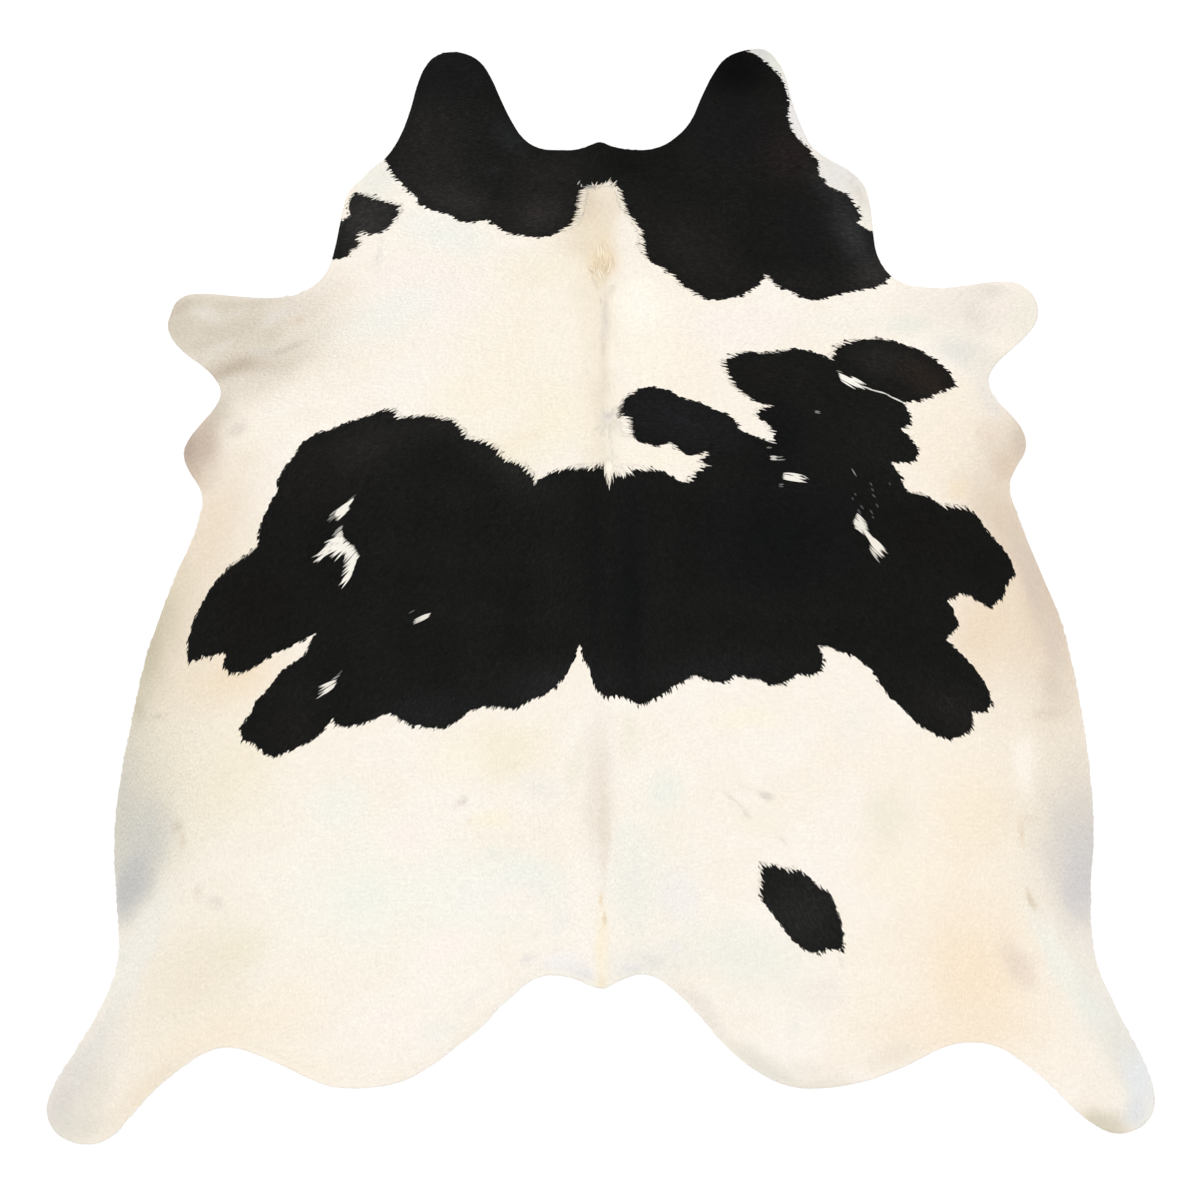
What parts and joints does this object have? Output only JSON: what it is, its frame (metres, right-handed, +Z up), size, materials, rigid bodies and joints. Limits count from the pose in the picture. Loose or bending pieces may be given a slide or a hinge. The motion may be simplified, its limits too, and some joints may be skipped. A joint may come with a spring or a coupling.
{
  "type": "cowhide rug",
  "caption": "Flat rug made of a whole hair-on cowhide in its natural outline, with neck flaps, legs and rump, black patches on a pale short coat, and a suede underside.",
  "frame": {"origin": "on the floor, under the middle of the hide's bounding box", "axes": "+Y along the spine towards the neck, +X to the animal's right side, +Z up out of the hair side"},
  "size_m": [2.2158, 2.1906, 0.0048],
  "materials": {
    "hide": "short lying hair above, brushed suede below",
    "pale_hair": "soft sheen",
    "black_hair": "soft sheen"
  },
  "bodies": {
    "root": {"hide": "hide"}
  },
  "joints": []
}
